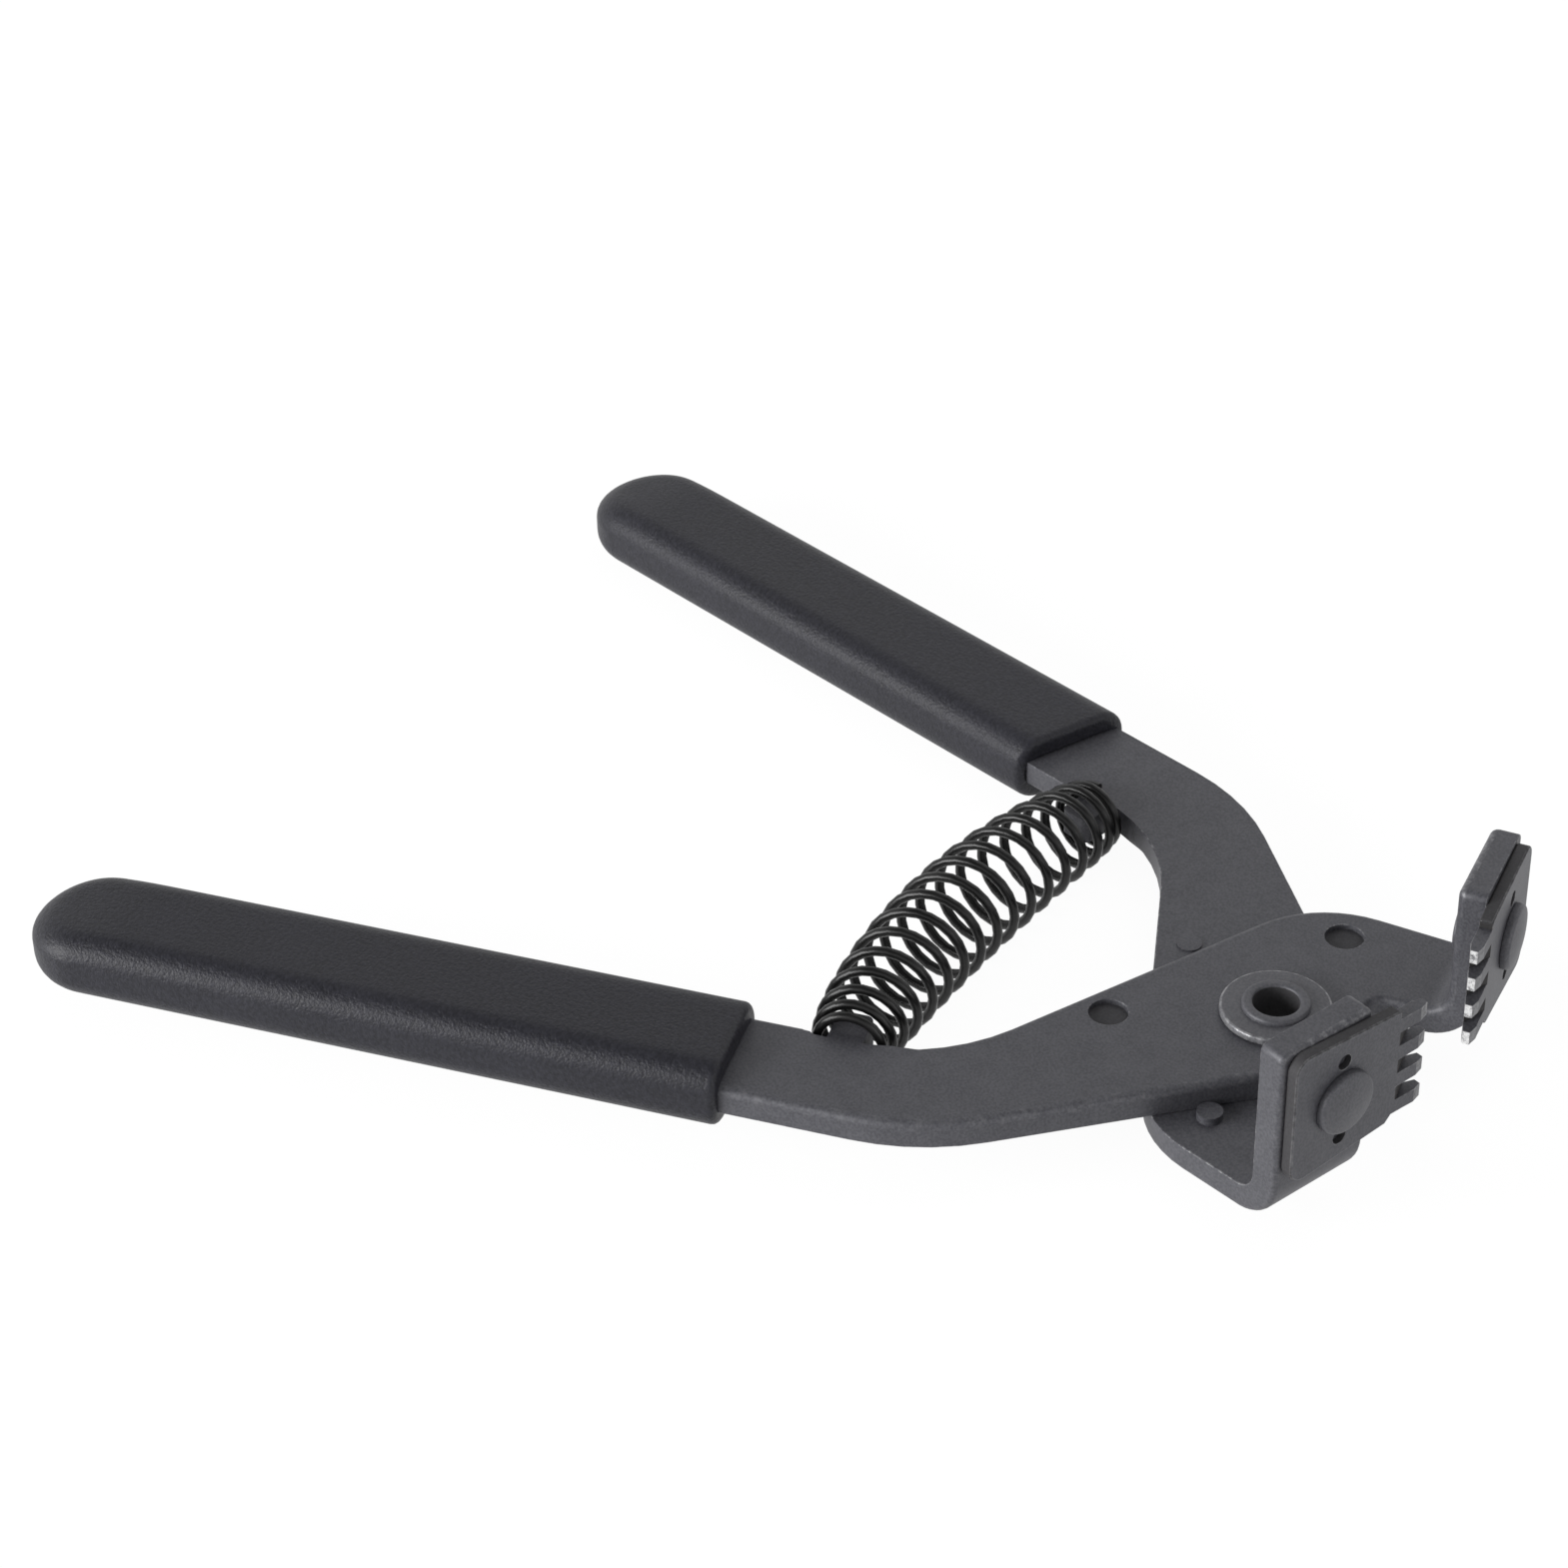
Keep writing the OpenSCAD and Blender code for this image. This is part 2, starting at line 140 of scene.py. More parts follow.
class Paint:
    # the nodes of one material, or of the world
    def __init__(self, owner, coordinates="Object"):
        self.owner = owner
        owner.use_nodes = True
        self.tree = owner.node_tree
        self.tree.nodes.clear()
        self.place = self.node("ShaderNodeTexCoord", output=coordinates)

    def node(self, kind, settings=None, sockets=None, output=0):
        made = self.tree.nodes.new(kind)
        for key, value in (settings or {}).items():
            setattr(made, key, value)
        for key, value in (sockets or {}).items():
            socket = self.find(made.inputs, key)
            if isinstance(value, Signal):
                self.tree.links.new(value.socket, socket)
            else:
                socket.default_value = value
        if made.outputs:
            return Signal(self, self.find(made.outputs, output))

    def find(self, sockets, key):
        usable = [s for s in sockets if s.enabled]
        return usable[key] if isinstance(key, int) else next(s for s in usable if s.name == key)

    def noise(self, size, detail=2.0, rough=0.5):
        # size is the width of one patch of the pattern
        sockets = {"Vector": self.place, "Scale": 1 / size, "Detail": detail, "Roughness": rough}
        return self.node("ShaderNodeTexNoise", {}, sockets)

    def mask(self, name):
        return self.node("ShaderNodeAttribute", {"attribute_name": name}, output="Fac")

    def mix(self, amount, first, second):
        sockets = {"Factor": amount, "A": first, "B": second}
        return self.node("ShaderNodeMix", {"data_type": "RGBA"}, sockets)

    def bump(self, height, strength, distance):
        sockets = {"Height": height, "Strength": strength, "Distance": distance}
        return self.node("ShaderNodeBump", {}, sockets, output="Normal")

    def shade(self, **sockets):
        named = {key.replace("_", " "): value for key, value in sockets.items()}
        surface = self.node("ShaderNodeBsdfPrincipled", {}, named)
        self.node("ShaderNodeOutputMaterial", {}, {"Surface": surface})
        return self.owner


def newPaint(name):
    return Paint(bpy.data.materials.new(name))


def grey(level, cool=0.0):
    return (level, level, level + cool, 1)


def lifted(colour, lift):
    return (*(part + lift for part in colour[:3]), 1)


# blackened strip steel: dark, satin, with a fine mottle, and rubbed bright at its edges; painted shade
# darkens its hollows and gaps, and its ground tips get a near-white painted highlight
blackSteel = {
    "dark": grey(0.049, cool=0.009),
    "light": grey(0.096, cool=0.012),
    "rubbed": grey(0.34, cool=0.01),
    "paintedShade": (0.016, 0.014, 0.012, 1),
    "ground": grey(0.8),
    "patch": 3.2 * mm,
    "patchShare": 0.3,
    "grain": 0.3 * mm,
    "rubGrain": 0.9 * mm,
    "streak": 0.5 * mm,
    "roughness": 0.44,
    "metallic": 0.2,
    "bump": 0.35,
    "bumpHeight": 0.025 * mm,
}


def steelPaint(name, lift=0.0, wearShare=0.5, groundTips=False):
    k, paint = blackSteel, newPaint(name)
    patch = paint.noise(k["patch"], detail=4, rough=0.6)
    grain = paint.noise(k["grain"])
    mottle = (patch.between(0.25, 0.75) * k["patchShare"]
              + grain.between(0.3, 0.7) * (1 - k["patchShare"]))
    tone = paint.mix(mottle, lifted(k["dark"], lift), lifted(k["light"], lift))
    # painted shade: near black and rougher where this mask is set, in recesses, between the teeth, on the
    # plates' sides and back rims, and in the pivot bore
    paintedShade = paint.mask("paintedShade")
    tone = paint.mix(paintedShade, tone, k["paintedShade"])
    rubbing = paint.noise(k["rubGrain"], detail=3, rough=0.7).between(0.6 - 0.35 * wearShare, 0.75)
    worn = paint.mask("edge") * rubbing
    tone = paint.mix(worn, tone, k["rubbed"])
    roughness = k["roughness"] + grain * 0.12 - worn * 0.1 + paintedShade * 0.4
    metal = k["metallic"] + worn * 0.4
    # ground tips: bare metal, painted near white as a highlight, with streaks
    if groundTips:
        ground = paint.mask("ground")
        streak = paint.noise(k["streak"], detail=3, rough=0.7).between(0.25, 0.6)
        tone = paint.mix(ground * streak, tone, k["ground"])
        roughness = roughness - ground * 0.1
    normal = paint.bump(grain + patch * 0.5, k["bump"], k["bumpHeight"])
    return paint.shade(Base_Color=tone, Roughness=roughness, Metallic=metal, Normal=normal)


# dipped vinyl: charcoal, with a fine leathery grain and a broad dull sheen
vinyl = {
    "dark": grey(0.009, cool=0.004),
    "light": grey(0.023, cool=0.008),
    "drift": 14 * mm,
    "driftShare": 0.3,
    "grain": 0.5 * mm,
    "fine": 0.28 * mm,
    "bumpHeight": 0.15 * mm,
    "roughness": 0.42,
    "gloss": 0.3,
}


def vinylPaint(name):
    k, paint = vinyl, newPaint(name)
    grain = paint.noise(k["grain"], detail=3, rough=0.6)
    fine = paint.noise(k["fine"], detail=1)
    drift = paint.noise(k["drift"])
    mottle = (drift.between(0.3, 0.7) * k["driftShare"]
              + grain.between(0.35, 0.65) * (1 - k["driftShare"]))
    tone = paint.mix(mottle, k["dark"], k["light"])
    normal = paint.bump(grain * 0.6 + fine * 0.4, 1.0, k["bumpHeight"])
    return paint.shade(Base_Color=tone, Roughness=k["roughness"] + drift * 0.1, Normal=normal,
                       Specular_IOR_Level=k["gloss"])


# spring wire: black oxide over a drawn wire, half glossy
wire = {
    "dark": grey(0.003),
    "light": grey(0.008),
    "patch": 2.5 * mm,
    "grain": 0.3 * mm,
    "bump": 0.2,
    "bumpHeight": 0.01 * mm,
    "roughness": 0.22,
    "gloss": 0.3,
}


def wirePaint(name):
    k, paint = wire, newPaint(name)
    patch = paint.noise(k["patch"], detail=3)
    tone = paint.mix(patch.between(0.3, 0.7), k["dark"], k["light"])
    normal = paint.bump(paint.noise(k["grain"]), k["bump"], k["bumpHeight"])
    return paint.shade(Base_Color=tone, Roughness=k["roughness"] + patch * 0.15, Normal=normal,
                       Specular_IOR_Level=k["gloss"])


armPaint = steelPaint("armSteel")
jawPaint = steelPaint("jawSteel", wearShare=0.9, groundTips=True)
rivetPaint = steelPaint("rivetSteel", lift=0.012, wearShare=0.3)
washerPaint = steelPaint("washerSteel", lift=0.022, wearShare=0.9)
gripPaint = vinylPaint("dippedVinyl")
springPaint = wirePaint("springWire")
print("materials made")


joinDistance = 0.001 * mm
flatAngle = math.radians(0.5)
slack = 0.05 * mm
fineSlack = 0.02 * mm
maskNames = ("edge", "paintedShade", "ground")


def addMasks(shape):
    # where a face is rubbed, takes painted shade, or is ground bare with a painted highlight, for the paints
    # to read
    for name in maskNames:
        shape.faces.layers.float.new(name)


def copyOf(node):
    # a CAD node's mesh, with its loose triangles joined and its flat faces made whole
    shape = bmesh.new()
    shape.from_mesh(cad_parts[node].data)
    bmesh.ops.remove_doubles(shape, verts=shape.verts, dist=joinDistance)
    bmesh.ops.dissolve_limit(shape, angle_limit=flatAngle, verts=shape.verts, edges=shape.edges)
    addMasks(shape)
    return shape


def middleOf(edge):
    return (edge.verts[0].co + edge.verts[1].co) / 2


def isConvex(edge, least=40):
    return edge.is_manifold and edge.calc_face_angle_signed() > math.radians(least)


def bevelEdges(shape, edges, width, steps):
    made = bmesh.ops.bevel(shape, geom=edges, offset=width, offset_type="OFFSET", segments=steps,
                           profile=0.5, affect="EDGES", clamp_overlap=False, material=-1)
    return made["faces"]


def mark(shape, faces, name, value=1.0):
    layer = shape.faces.layers.float[name]
    for face in faces:
        face[layer] = value


def softSurface(shape, sharpAngle=35):
    for face in shape.faces:
        face.smooth = True
    for edge in shape.edges:
        edge.smooth = not (edge.is_manifold and edge.calc_face_angle() > math.radians(sharpAngle))


def addPiece(shape, name, body, node, material):
    mesh = bpy.data.meshes.new(name)
    shape.to_mesh(mesh)
    shape.free()
    mesh.materials.append(material)
    piece = bpy.data.objects.new(name, mesh)
    bpy.context.scene.collection.objects.link(piece)
    even = piece.modifiers.new("evenNormals", "WEIGHTED_NORMAL")
    even.keep_sharp = True
    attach(piece, body)
    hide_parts(node)


# the two jaws: which way each faces, where its tab stands and where its rivet is
jaws = {
    "tabBack": 17.8 * mm,
    "rivetAcross": 12.9 * mm,
    "rivetHeight": 15.6 * mm,
    "lower": {"turn": -18.7, "side": -1},
    "upper": {"turn": 8.3, "side": 1},
}


def jawWays(body):
    # forwards and outwards of a jaw
    turn = math.radians(jaws[body]["turn"])
    forwards = Vector((math.cos(turn), math.sin(turn), 0))
    return forwards, Vector((-math.sin(turn), math.cos(turn), 0)) * jaws[body]["side"]


def fromRivet(body, place):
    # how far a place is from the axis of the jaw's rivet
    across = place.dot(jawWays(body)[1]) - jaws["rivetAcross"]
    return math.hypot(across, place.z - jaws["rivetHeight"])


# the two stamped arms: each edge is rolled on the side that the punch met
# and has a thin burr on the other
arms = {
    "sheet": 3.4 * mm,
    "width": 13.6 * mm,
    "lower": {"node": "lower_arm", "bottom": 0.0, "rollUp": False, "roll": 0.68 * mm,
              "recesses": [(0.46 * mm, -16.58 * mm), (-16.2 * mm, 9.9 * mm)]},
    "upper": {"node": "upper_arm", "bottom": 3.45 * mm, "rollUp": True, "roll": 0.95 * mm,
              "recesses": [(0.46 * mm, 16.58 * mm), (-16.2 * mm, -9.9 * mm)]},
    "rollSteps": 4,
    "rollWear": 0.15,
    "burr": 0.16 * mm,
    "burrWear": 0.8,
    "topWear": 0.45,
    "topZone": 22.5 * mm,
    "recessRim": 0.12 * mm,
    "recessLift": 0.5 * mm,
    "recessPaintedShade": 0.5,
    "recessZone": 2.6 * mm,
    "floorZone": 0.5 * mm,
    "rearButton": {"place": (-16.2 * mm, 9.9 * mm), "radius": 1.6 * mm, "height": 0.2 * mm},
    "tabFoot": 9 * mm,
    "pivotZone": 5 * mm,
    "rivetZone": 3.4 * mm,
    "tongue": {"place": (-39.5 * mm, 25.4 * mm), "zone": 6.5 * mm},
}


def faceAt(shape, height, up):
    # the largest level face at that height
    level = [f for f in shape.faces
             if f.normal.z * up > 0.99 and abs(f.calc_center_median().z - height) < slack]
    return max(level, key=lambda f: f.calc_area())


def nearRecess(body, place, reach):
    return any((place.xy - Vector(centre)).length < reach for centre in arms[body]["recesses"])


def sheetSide(shape, start):
    # every face that the sheet's surface reaches from start without a sharp edge
    found, waiting = {start}, [start]
    while waiting:
        face = waiting.pop()
        for edge in face.edges:
            for other in edge.link_faces:
                if other not in found and edge.calc_face_angle(4) < math.radians(30):
                    found.add(other)
                    waiting.append(other)
    return found


def outlineOf(shape, side, body):
    # the convex edges round a sheet side, without those of holes, buttons and recesses
    # and of the spring's tongue
    edges = [e for e in shape.edges if isConvex(e) and sum(f in side for f in e.link_faces) == 1]
    tongue = arms["tongue"]
    tonguePlace = Vector((tongue["place"][0], -tongue["place"][1] * jaws[body]["side"]))
    kept = []
    for edge in edges:
        place = middleOf(edge)
        if place.z > arms["tabFoot"]:
            near = fromRivet(body, place) < arms["rivetZone"]
        else:
            near = (place.xy.length < arms["pivotZone"]
                    or (place.xy - tonguePlace).length < tongue["zone"]
                    or nearRecess(body, place, arms["recessZone"]))
        if not near:
            kept.append(edge)
    return kept


def dressArm(body):
    k = arms[body]
    shape = copyOf(k["node"])
    bottom, top = k["bottom"], k["bottom"] + arms["sheet"]
    rolled = (k["rollUp"], k["roll"], arms["rollSteps"], arms["rollWear"])
    burred = (not k["rollUp"], arms["burr"], 2, arms["burrWear"])
    for up, width, steps, wear in (rolled, burred):
        start = faceAt(shape, top if up else bottom, 1 if up else -1)
        outline = outlineOf(shape, sheetSide(shape, start), body)
        faces = bevelEdges(shape, outline, width, steps)
        mark(shape, faces, "edge", wear)
        # the top of the jaw tab is rubbed in its own way
        tabTop = [f for f in faces if f.calc_center_median().z > arms["topZone"]]
        mark(shape, tabTop, "edge", arms["topWear"])
    openSide = top if body == "upper" else bottom
    for centre in k["recesses"]:
        rim = [e for e in shape.edges if isConvex(e, 60)
               and (middleOf(e).xy - Vector(centre)).length < arms["recessZone"]
               and abs(middleOf(e).z - openSide) < fineSlack]
        mark(shape, bevelEdges(shape, rim, arms["recessRim"], 2), "edge", arms["burrWear"])
    # the recess floors get painted shade and a rougher finish, then are lifted to a shallower depth
    floors = [f for f in shape.faces if abs(f.normal.z) > 0.99
              and nearRecess(body, f.calc_center_median(), arms["floorZone"])
              and bottom + arms["floorZone"] < f.calc_center_median().z < top - arms["floorZone"]]
    mark(shape, floors, "paintedShade", arms["recessPaintedShade"])
    lift = arms["recessLift"] * (1 if body == "upper" else -1)
    floorVerts = list(dict.fromkeys(v for f in floors for v in f.verts))
    bmesh.ops.translate(shape, vec=(0, 0, lift), verts=floorVerts)
    if body == "lower":
        flattenRearButton(shape, top)
    softSurface(shape)
    addPiece(shape, k["node"] + "_rolled", body, k["node"], armPaint)


def flattenRearButton(shape, top):
    # the button at the back of the lower arm is pressed only just through
    button = arms["rearButton"]
    centre = Vector(button["place"])
    for v in shape.verts:
        if v.co.z > top and (v.co.xy - centre).length < button["radius"]:
            v.co.z = min(v.co.z, top + button["height"])


dressArm("lower")
dressArm("upper")
print("arms dressed")

# the toothed plates: the rim rounded at the back and the front, with painted shade on the back rim, the
# outer side faces and the gaps between the teeth; the tooth tips ground bare and painted bright as a
# highlight
plates = {
    "thick": 1.6 * mm,
    "solidThick": 2.0 * mm,
    "root": 4.5 * mm,
    "gulletSlope": 2.9 * mm,
    "gulletHeights": (10.4 * mm, 21.0 * mm),
    "gulletPaintedShade": 0.8,
    "tipZone": 1.5 * mm,
    "tipBright": 1.0,
    "flankBright": 0.2,
    "rimPaintedShade": 0.6,
    "backRound": 0.3 * mm,
    "backPaintedShade": 0.7,
    "frontRound": 0.25 * mm,
    "frontWear": 0.3,
    "broken": 0.07 * mm,
    "brokenWear": 0.8,
    "pipAcross": 12.9 * mm,
    "pipZone": 1.3 * mm,
    "pipReach": 7.2 * mm,
    "rivetZone": 2.6 * mm,
}


def rimEdges(shape, body, along):
    # the convex edges of a plate's rim at that distance forwards, without the teeth and the holes
    forwards, outwards = jawWays(body)
    rim = []
    for edge in shape.edges:
        place = middleOf(edge)
        across, reach = place.dot(outwards), fromRivet(body, place)
        pip = abs(across - plates["pipAcross"]) < plates["pipZone"] and reach < plates["pipReach"]
        level = abs(place.dot(forwards) - along) < fineSlack
        behindTeeth = across > plates["root"] + slack
        if level and behindTeeth and isConvex(edge) and reach > plates["rivetZone"] and not pip:
            rim.append(edge)
    return rim


def dressPlate(body):
    k, node = plates, body + "_jaw_plate"
    shape = copyOf(node)
    forwards, outwards = jawWays(body)
    back = jaws["tabBack"] + arms["sheet"]
    # the gaps between the teeth are cut on a slant, so their floors run forwards to the root
    low, high = k["gulletHeights"]
    for v in shape.verts:
        atBack = abs(v.co.dot(forwards) - back) < slack
        atRoot = abs(v.co.dot(outwards) - k["root"]) < slack
        if atBack and atRoot and low < v.co.z < high:
            v.co -= outwards * k["gulletSlope"]
    # the plate is a little thinner than its solid, and its back stays against the tab
    for v in shape.verts:
        v.co -= forwards * (v.co.dot(forwards) - back) * (1 - k["thick"] / k["solidThick"])
    # painted highlight on the ground tips and their flanks; painted shade in the gaps between the teeth and
    # on the plate's outer side faces
    for face in shape.faces:
        face.normal_update()
        across = face.calc_center_median().dot(outwards)
        slant = -face.normal.dot(outwards)
        if across < k["tipZone"] and slant > 0.05:
            mark(shape, [face], "ground", k["tipBright"] if slant > 0.95 else k["flankBright"])
        elif across < k["root"] and slant > 0.3:
            mark(shape, [face], "paintedShade", k["gulletPaintedShade"])
        elif across > k["root"] and abs(face.normal.dot(forwards)) < 0.3:
            mark(shape, [face], "paintedShade", k["rimPaintedShade"])
    # the rounded back rim gets painted shade, for the gap against the tab
    backFaces = bevelEdges(shape, rimEdges(shape, body, back), k["backRound"], 4)
    mark(shape, backFaces, "paintedShade", k["backPaintedShade"])
    frontFaces = bevelEdges(shape, rimEdges(shape, body, back + k["thick"]), k["frontRound"], 3)
    mark(shape, frontFaces, "edge", k["frontWear"])
    brokenFaces = bevelEdges(shape, [e for e in shape.edges if isConvex(e)], k["broken"], 2)
    mark(shape, brokenFaces, "edge", k["brokenWear"])
    softSurface(shape, 38)
    addPiece(shape, node + "_ground", body, node, jawPaint)


dressPlate("lower")
dressPlate("upper")
print("jaw plates dressed")

# turned pieces: a profile of [radius, height] points spun round its axis
turned = {
    "steps": 96,
    "cornerSteps": 5,
}


def spinProfile(points, rounds):
    # spins a closed outline round the z axis; rounds gives each corner's radius
    shape = bmesh.new()
    corners = [shape.verts.new((radius, 0, height)) for radius, height in points]
    shape.faces.new(corners)
    for corner, rounding in zip(corners, rounds):
        if rounding:
            bmesh.ops.bevel(shape, geom=[corner], offset=rounding, offset_type="OFFSET",
                            segments=turned["cornerSteps"], profile=0.5, affect="VERTICES",
                            clamp_overlap=False, material=-1)
    outline = shape.faces[:][0]
    edges = list(outline.edges)
    bmesh.ops.delete(shape, geom=[outline], context="FACES_ONLY")
    bmesh.ops.spin(shape, geom=[*shape.verts, *edges], cent=(0, 0, 0), axis=(0, 0, 1),
                   angle=2 * math.pi, steps=turned["steps"], use_merge=True)
    bmesh.ops.remove_doubles(shape, verts=shape.verts, dist=joinDistance)
    bmesh.ops.recalc_face_normals(shape, faces=shape.faces)
    addMasks(shape)
    return shape


def dressTurned(node, body, material, shape, wornZone=None):
    if wornZone:
        mark(shape, [f for f in shape.faces if wornZone(f.calc_center_median())], "edge")
    softSurface(shape, 45)
    addPiece(shape, node + "_turned", body, node, material)


# the hollow rivet and its two washers
pivot = {
    "bore": 2.7 * mm,
    "tube": 3.6 * mm,
    "rim": 4.0 * mm,
    "rimHeight": 0.65 * mm,
    "innerRound": 0.4 * mm,
    "outerRound": 0.45 * mm,
    "borePaintedShade": 0.6,
    "washer": 6.45 * mm,
    "washerRounds": (0.25 * mm, 0.3 * mm),
    "washerWorn": 0.35 * mm,
}


def pivotRivet():
    k = pivot
    low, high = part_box("pivot_rivet")
    under, over = low.z + k["rimHeight"], high.z - k["rimHeight"]
    points = [(k["bore"], low.z), (k["rim"], low.z), (k["rim"], under), (k["tube"], under),
              (k["tube"], over), (k["rim"], over), (k["rim"], high.z), (k["bore"], high.z)]
    rounds = [k["innerRound"], k["outerRound"], 0, 0, 0, 0, k["outerRound"], k["innerRound"]]
    shape = spinProfile(points, rounds)
    # painted shade inside the bore
    bore = [f for f in shape.faces if f.calc_center_median().xy.length < k["bore"] + fineSlack]
    mark(shape, bore, "paintedShade", k["borePaintedShade"])
    dressTurned("pivot_rivet", "lower", rivetPaint, shape)


def washer(node):
    inner, outer = pivot["tube"], pivot["washer"]
    low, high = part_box(node)
    points = [(inner, low.z), (outer, low.z), (outer, high.z), (inner, high.z)]
    shape = spinProfile(points, [0, *pivot["washerRounds"], 0])
    rimRadius = outer - pivot["washerWorn"]
    dressTurned(node, "lower", washerPaint, shape,
                lambda place: place.xy.length > rimRadius)


pivotRivet()
washer("top_washer")
washer("bottom_washer")

# the large-headed rivets of the jaw plates, lying along the way each plate faces
jawRivet = {
    "shank": 2.2 * mm,
    "head": 3.9 * mm,
    "headEdge": 1.0 * mm,
    "headFoot": 0.15 * mm,
    "headRound": 0.4 * mm,
    "dome": 0.5 * mm,
    "domeSteps": 8,
    "tail": 3.1 * mm,
    "tailHeight": 0.8 * mm,
    "tailRound": 0.4 * mm,
}


def dressJawRivet(body):
    k, back, steps = jawRivet, jaws["tabBack"], jawRivet["domeSteps"]
    seat = back + arms["sheet"] + plates["thick"]
    domeRadius = (k["head"] ** 2 + k["dome"] ** 2) / (2 * k["dome"])
    sweep = math.asin(k["head"] / domeRadius)
    crown = seat + k["headEdge"] + k["dome"]
    angles = [sweep * i / steps for i in range(steps, -1, -1)]
    dome = [(domeRadius * math.sin(a), crown - domeRadius * (1 - math.cos(a))) for a in angles]
    points = [(0, back - k["tailHeight"]), (k["tail"], back - k["tailHeight"]), (k["tail"], back),
              (k["shank"], back), (k["shank"], seat), (k["head"], seat), *dome]
    rounds = [0, k["tailRound"], 0, 0, 0, k["headFoot"], k["headRound"]] + [0] * steps
    shape = spinProfile(points, rounds)
    across = jawWays(body)[1] * jaws["rivetAcross"]
    turn = Matrix.Rotation(math.radians(jaws[body]["turn"]), 4, "Z")
    lay = turn @ Matrix.Rotation(math.radians(90), 4, "Y")
    place = Matrix.Translation(across + Vector((0, 0, jaws["rivetHeight"])))
    bmesh.ops.transform(shape, matrix=place @ lay, verts=shape.verts)
    dressTurned(body + "_jaw_rivet", body, rivetPaint, shape)


dressJawRivet("lower")
dressJawRivet("upper")
print("rivets and washers turned")

# the dipped grips: half a section run along the handle, round the end and back
grips = {
    "angle": 14.0,
    "offset": 25.3 * mm,
    "mouth": 56.8 * mm,
    "lower": {"side": 1, "middle": 1.7 * mm, "end": 141.8 * mm,
              "outerLip": 2.0 * mm, "innerLip": -1.2 * mm},
    "upper": {"side": -1, "middle": 5.15 * mm, "end": 143.5 * mm,
              "outerLip": -0.1 * mm, "innerLip": -0.6 * mm},
    "lipReach": 24 * mm,
    "width": 16.0 * mm,
    "thick": 8.8 * mm,
    "flatShare": 0.45,
    "round": 3.4 * mm,
    "slopeReach": 14 * mm,
    "slopeShare": 0.3,
    "roundSteps": 8,
    "lengths": 40,
    "endSteps": 36,
    "lip": 0.9 * mm,
    "lipSteps": 4,
    "gap": 0.3 * mm,
    "depth": 4.0 * mm,
}


def halfSection(shape):
    # an open edge loop from the middle of the top, round the side, to the middle of the bottom
    w, t = grips["width"] / 2, grips["thick"] / 2
    flat = w * grips["flatShare"]
    points = [(0, 0, t), (0, flat, t), (0, w, t), (0, w, -t), (0, flat, -t), (0, 0, -t)]
    verts = [shape.verts.new(p) for p in points]
    for a, b in zip(verts, verts[1:]):
        shape.edges.new((a, b))
    bmesh.ops.bevel(shape, geom=[verts[2], verts[3]], offset=grips["round"], offset_type="OFFSET",
                    segments=grips["roundSteps"], profile=0.5, affect="VERTICES",
                    clamp_overlap=False, material=-1)


def extrudeLoop(shape, edges):
    # one more copy of an edge loop, joined to it by faces: its vertices and its edges
    made = bmesh.ops.extrude_edge_only(shape, edges=edges)["geom"]
    verts = [part for part in made if isinstance(part, bmesh.types.BMVert)]
    loop = [part for part in made
            if isinstance(part, bmesh.types.BMEdge) and all(v in verts for v in part.verts)]
    return verts, loop


def pushEdges(shape, edges, way, times):
    # runs an open loop of edges along way, in equal steps, and returns the last loop
    for _ in range(times):
        verts, edges = extrudeLoop(shape, edges)
        bmesh.ops.translate(shape, vec=way / times, verts=verts)
    return edges


def shrinkLoop(shape, edges, across, along, updown=None):
    # one more ring inside the last: drawn in by across at the sides and updown at top and bottom
    updown = across if updown is None else updown
    verts, loop = extrudeLoop(shape, edges)
    wide = max(abs(v.co.y) for v in verts)
    tall = max(abs(v.co.z) for v in verts)
    for v in verts:
        v.co = (v.co.x + along, v.co.y * (wide - across) / wide, v.co.z * (tall - updown) / tall)
    return loop


def closeMouth(shape, mouth):
    # the lip: a rounded edge, a flat end, and a gap that runs in beside the steel
    g = grips
    angles = [math.pi / 2 * i / g["lipSteps"] for i in range(g["lipSteps"] + 1)]
    for before, after in zip(angles, angles[1:]):
        inward = g["lip"] * (math.cos(before) - math.cos(after))
        forward = g["lip"] * (math.sin(after) - math.sin(before))
        mouth = shrinkLoop(shape, mouth, inward, forward)
    sideWall = (g["width"] - arms["width"]) / 2 - g["gap"] - g["lip"]
    flatWall = (g["thick"] - arms["sheet"]) / 2 - g["gap"] - g["lip"]
    mouth = shrinkLoop(shape, mouth, sideWall, 0, flatWall)
    mouth = shrinkLoop(shape, mouth, 0, -g["depth"])
    bmesh.ops.contextual_create(shape, geom=mouth)


